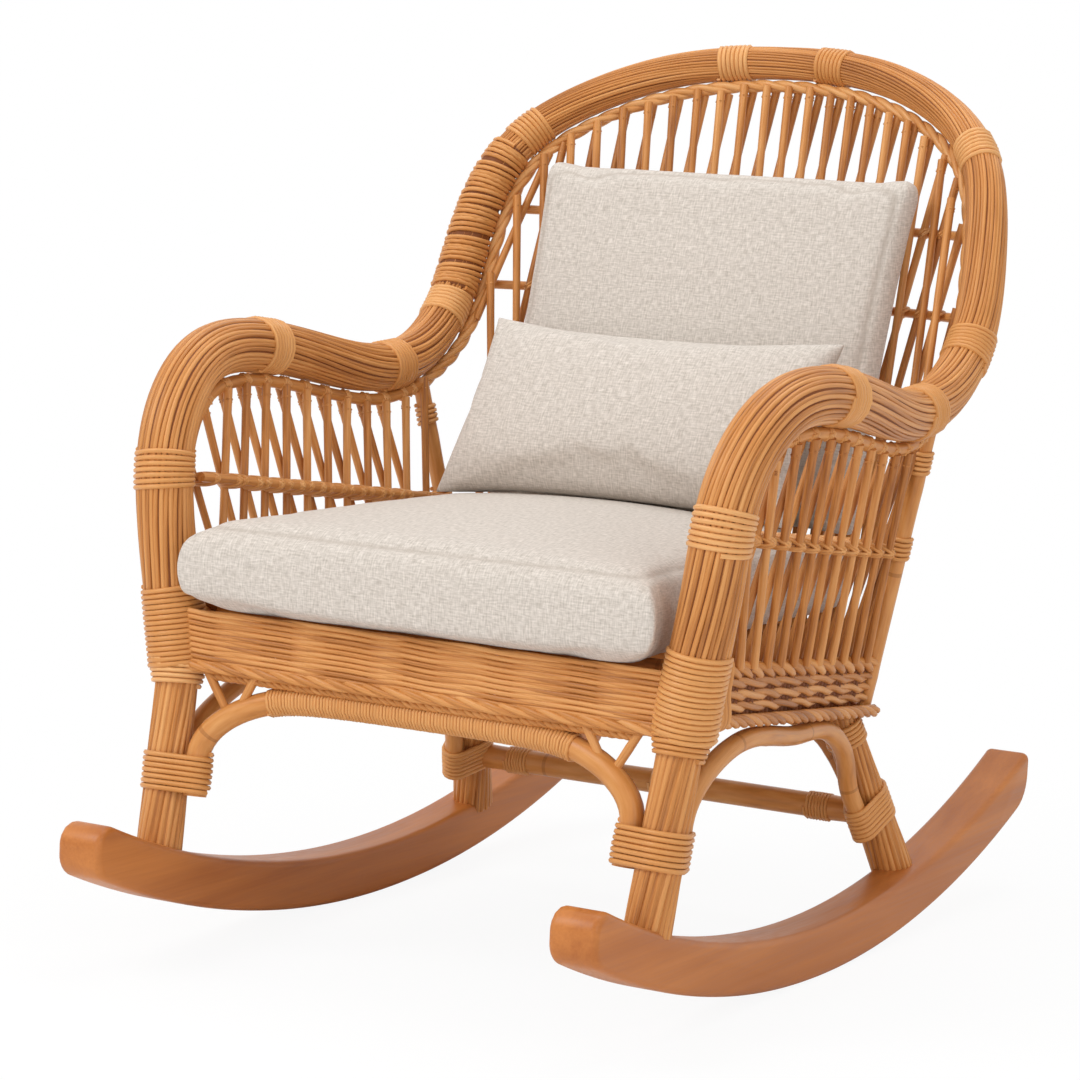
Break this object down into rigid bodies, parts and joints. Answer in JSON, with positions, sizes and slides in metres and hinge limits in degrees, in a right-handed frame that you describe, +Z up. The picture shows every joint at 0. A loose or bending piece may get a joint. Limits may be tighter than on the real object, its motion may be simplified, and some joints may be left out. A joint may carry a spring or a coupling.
{
  "type": "rattan rocking chair",
  "caption": "Rattan rocking chair with a bundled-cane arm and back rail, crossing reed panels, a woven apron, curved wooden rockers and loose linen cushions.",
  "frame": {"origin": "on the floor, at the middle of the chair's footprint", "axes": "+X to the right of someone looking at the chair's front, -Y the way the chair faces, +Z up"},
  "size_m": [0.7158, 1.016, 0.9313],
  "materials": {
    "rattan_pole": "satin lacquered peeled cane",
    "reed": "satin lacquered reed",
    "binding_reed": "satin lacquered split cane",
    "rocker_wood": "satin lacquered solid wood",
    "dowel": "plain",
    "linen": "matt coarse linen weave"
  },
  "bodies": {
    "frame": {"apron_front": "reed", "apron_left": "reed", "apron_rear": "reed", "apron_right": "reed", "arm_liner_left": "rattan_pole", "arm_liner_right": "rattan_pole", "arm_rail_left": "rattan_pole", "arm_rail_right": "rattan_pole", "back_girts": "rattan_pole", "back_lattice": "reed", "back_liner": "rattan_pole", "back_rail": "rattan_pole", "back_sill": "rattan_pole", "corner_reeds": "reed", "corner_wrap_front_left": "binding_reed", "corner_wrap_front_right": "binding_reed", "front_arch": "rattan_pole", "front_arch_wrap": "binding_reed", "front_leg_left": "rattan_pole", "front_leg_right": "rattan_pole", "leg_bindings": "binding_reed", "leg_dowels": "dowel", "rail_bindings": "binding_reed", "rear_arch": "rattan_pole", "rear_leg_collar_left": "binding_reed", "rear_leg_collar_right": "binding_reed", "rear_leg_left": "rattan_pole", "rear_leg_right": "rattan_pole", "rear_post_bindings": "binding_reed", "rear_post_left": "rattan_pole", "rear_post_right": "rattan_pole", "rear_stretcher": "rattan_pole", "rocker_left": "rocker_wood", "rocker_right": "rocker_wood", "seat_rail_front": "rattan_pole", "seat_rail_left": "rattan_pole", "seat_rail_rear": "rattan_pole", "seat_rail_right": "rattan_pole", "seat_slats": "rattan_pole", "side_arch_left": "rattan_pole", "side_arch_right": "rattan_pole", "side_girt_left": "rattan_pole", "side_girt_right": "rattan_pole", "side_lattice_left": "reed", "side_lattice_right": "reed", "side_sill_left": "rattan_pole", "side_sill_right": "rattan_pole", "stretcher_bindings": "binding_reed"},
    "seat_cushion": {"seat_cushion": "linen"},
    "back_cushion": {"back_cushion": "linen"},
    "lumbar_pillow": {"lumbar_pillow": "linen"}
  },
  "joints": [
    {"name": "seat_cushion_lift", "type": "slide", "parent": "frame", "child": "seat_cushion", "axis": [0, 0, 1], "range_m": [0, 0.1]},
    {"name": "back_cushion_lift", "type": "slide", "parent": "seat_cushion", "child": "back_cushion", "axis": [0, 0, 1], "range_m": [0, 0.2]},
    {"name": "lumbar_pillow_lift", "type": "slide", "parent": "back_cushion", "child": "lumbar_pillow", "axis": [0, -0.5, 0.866], "range_m": [0, 0.25]}
  ]
}
